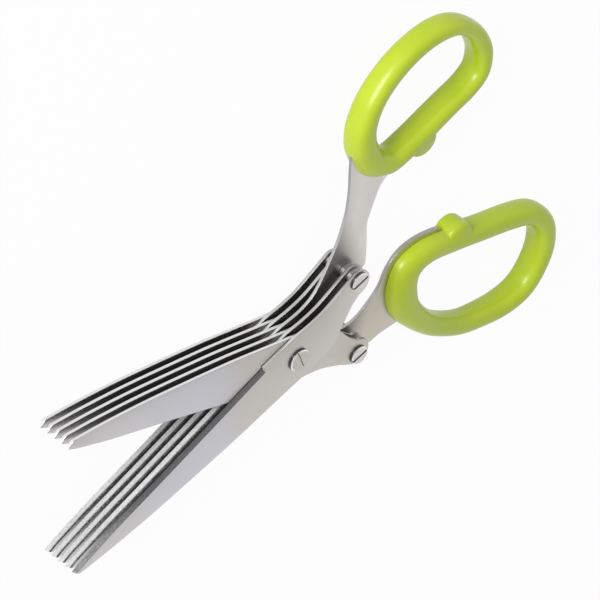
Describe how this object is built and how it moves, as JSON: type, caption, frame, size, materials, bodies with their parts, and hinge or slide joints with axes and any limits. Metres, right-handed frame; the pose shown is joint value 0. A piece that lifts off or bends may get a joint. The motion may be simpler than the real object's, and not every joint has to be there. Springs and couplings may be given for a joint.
{
  "type": "herb scissors",
  "caption": "Herb scissors with a stack of paired stainless blades on one pivot and two moulded lime green loops, standing half open",
  "frame": {"origin": "centre of the pivot post's flat back face, on the pivot axis, which the scissors rest on", "axes": "+X from the pivot towards the loops along the line halfway between the two halves, +Y towards the thumb loop, +Z along the pivot axis towards the slotted screw head"},
  "size_m": [0.1919, 0.1325, 0.0155],
  "materials": {
    "blade_steel": "satin ground stainless plate, fine grain along the blade, brighter cut edges",
    "screw_steel": "turned and lightly polished nickel plated screw head with a milled slot",
    "post_steel": "turned steel barrel with a flat back foot",
    "collar_steel": "turned steel collars and washers, satin",
    "loop_plastic": "smooth injection moulded plastic, lime green, soft gloss"
  },
  "bodies": {
    "finger_half": {"finger_blade_1": "blade_steel", "finger_blade_2": "blade_steel", "finger_blade_3": "blade_steel", "finger_blade_4": "blade_steel", "finger_blade_5": "blade_steel", "finger_tang_collar_1": "collar_steel", "finger_tang_collar_2": "collar_steel", "finger_tang_collar_3": "collar_steel", "finger_tang_collar_4": "collar_steel", "finger_tang_post": "post_steel", "finger_tang_screw": "screw_steel", "finger_loop": "loop_plastic", "pivot_post": "post_steel", "pivot_screw": "screw_steel", "pivot_washer_1": "collar_steel", "pivot_washer_2": "collar_steel", "pivot_washer_3": "collar_steel", "pivot_washer_4": "collar_steel"},
    "thumb_half": {"thumb_blade_1": "blade_steel", "thumb_blade_2": "blade_steel", "thumb_blade_3": "blade_steel", "thumb_blade_4": "blade_steel", "thumb_blade_5": "blade_steel", "thumb_tang_collar_1": "collar_steel", "thumb_tang_collar_2": "collar_steel", "thumb_tang_collar_3": "collar_steel", "thumb_tang_collar_4": "collar_steel", "thumb_tang_post": "post_steel", "thumb_tang_screw": "screw_steel", "thumb_loop": "loop_plastic"}
  },
  "joints": [
    {"name": "pivot", "type": "hinge", "parent": "finger_half", "child": "thumb_half", "pos_m": [0, 0, 0.0078], "axis": [0, 0, 1], "range_deg": [-34.5, 30]}
  ]
}
